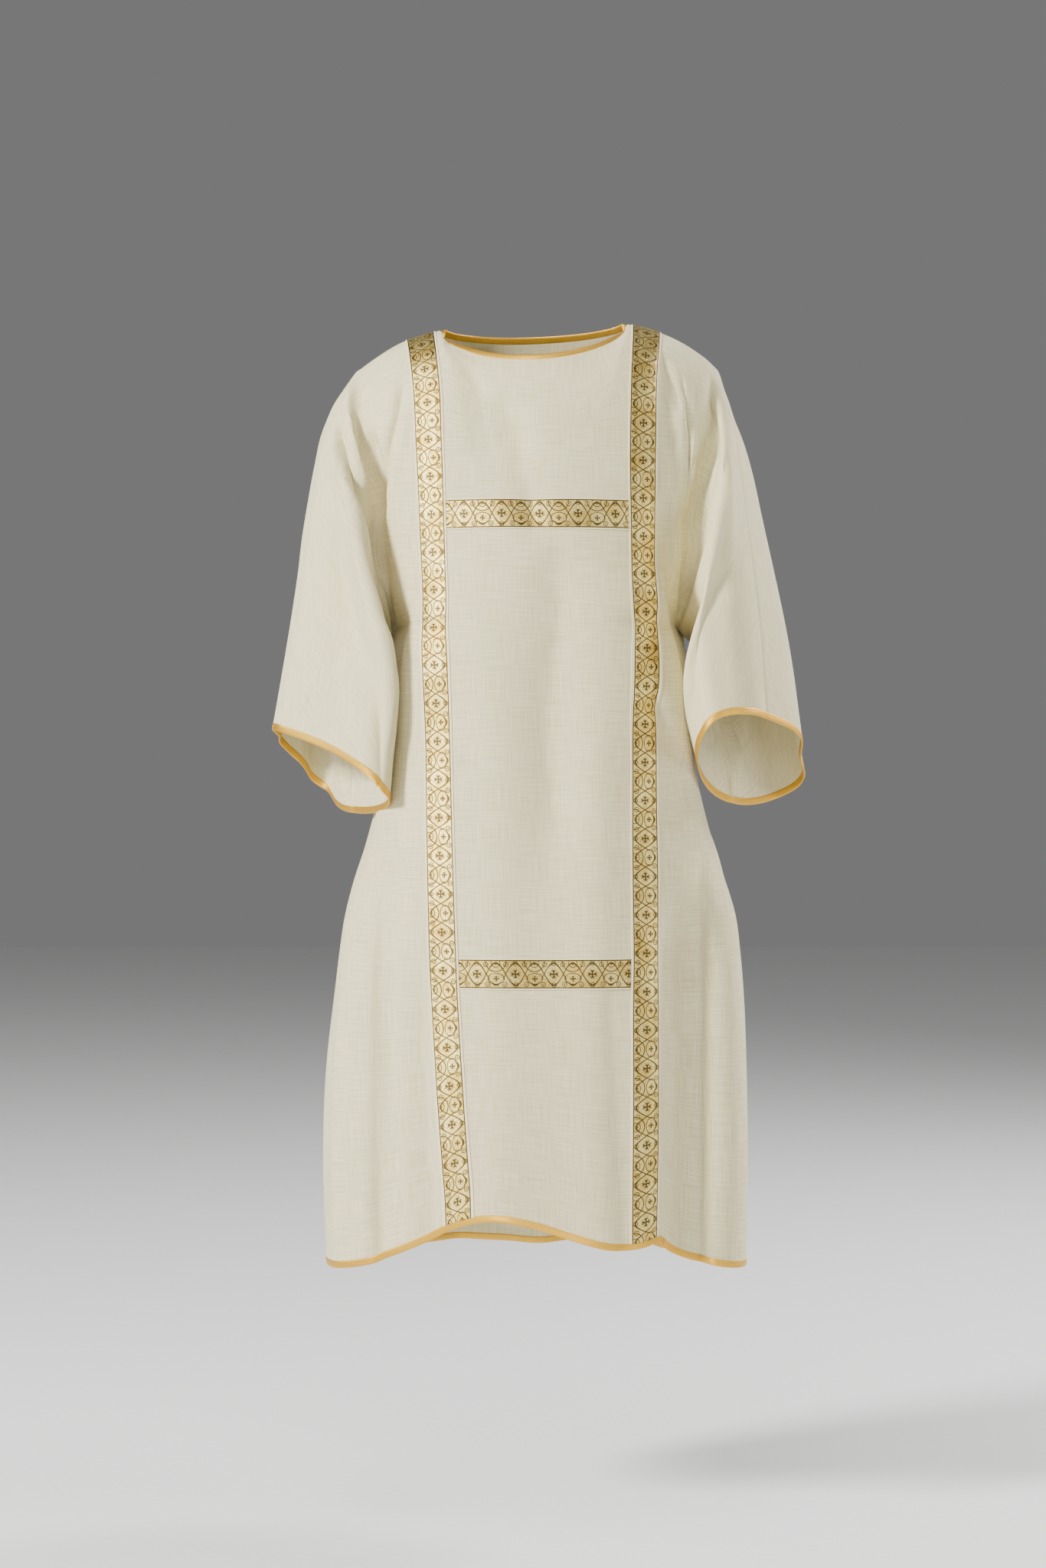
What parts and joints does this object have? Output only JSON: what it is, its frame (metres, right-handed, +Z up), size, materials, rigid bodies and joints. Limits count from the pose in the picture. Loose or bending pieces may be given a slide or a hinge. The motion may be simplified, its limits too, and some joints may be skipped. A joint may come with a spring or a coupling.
{
  "type": "dalmatic vestment",
  "caption": "Wide-sleeved liturgical over-tunic in its worn shape, open at neck, cuffs and hem, with long galloon bands over the shoulders and cross bands on the front.",
  "frame": {"origin": "on the wearer's shoulder line, midway between the two ends of the neck hole, at the height where the garment hangs from the shoulders", "axes": "+Z up along the hanging length, -Y towards the front with the cross bands, +X to the right of someone who looks at the front"},
  "size_m": [0.6837, 0.3611, 1.1928],
  "materials": {
    "front_cloth": "matt, slubby linen weave",
    "back_cloth": "matt, slubby linen weave",
    "galloon_left": "woven metallic thread, soft sheen",
    "galloon_right": "woven metallic thread, soft sheen",
    "galloon_upper": "woven metallic thread, soft sheen",
    "galloon_lower": "woven metallic thread, soft sheen",
    "neck_ribbon": "folded metallic ribbon, satin",
    "cuff_ribbon_left": "folded metallic ribbon, satin",
    "cuff_ribbon_right": "folded metallic ribbon, satin",
    "hem_ribbon": "folded metallic ribbon, satin"
  },
  "bodies": {
    "root": {"front_panel": "front_cloth", "back_panel": "back_cloth", "band_left": "galloon_left", "band_right": "galloon_right", "cross_band_upper": "galloon_upper", "cross_band_lower": "galloon_lower", "neck_binding": "neck_ribbon", "cuff_binding_left": "cuff_ribbon_left", "cuff_binding_right": "cuff_ribbon_right", "hem_binding": "hem_ribbon"}
  },
  "joints": []
}
